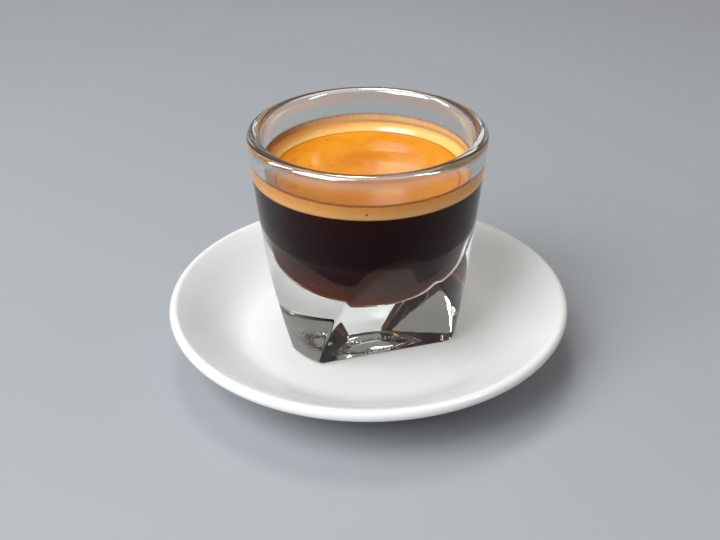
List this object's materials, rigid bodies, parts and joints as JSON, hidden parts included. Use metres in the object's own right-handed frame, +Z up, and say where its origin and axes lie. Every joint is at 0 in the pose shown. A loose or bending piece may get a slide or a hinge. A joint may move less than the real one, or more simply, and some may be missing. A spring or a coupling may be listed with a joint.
{
  "type": "double espresso in a glass",
  "caption": "Double espresso with golden crema in a small thick-walled glass with a flat-faceted heavy foot, standing on a round white saucer.",
  "frame": {"origin": "on the ground, under the middle of the saucer", "axes": "+Z up, -Y towards the drinker, +X to the drinker's right"},
  "size_m": [0.1156, 0.1156, 0.0689],
  "materials": {
    "white_glaze": "glossy white glaze",
    "clear_glass": "clear fire-polished pressed glass",
    "dark_coffee": "near-black brown liquid",
    "golden_crema": "fine golden-brown foam"
  },
  "bodies": {
    "root": {"saucer": "white_glaze", "glass": "clear_glass", "coffee": "dark_coffee", "crema": "golden_crema"}
  },
  "joints": []
}
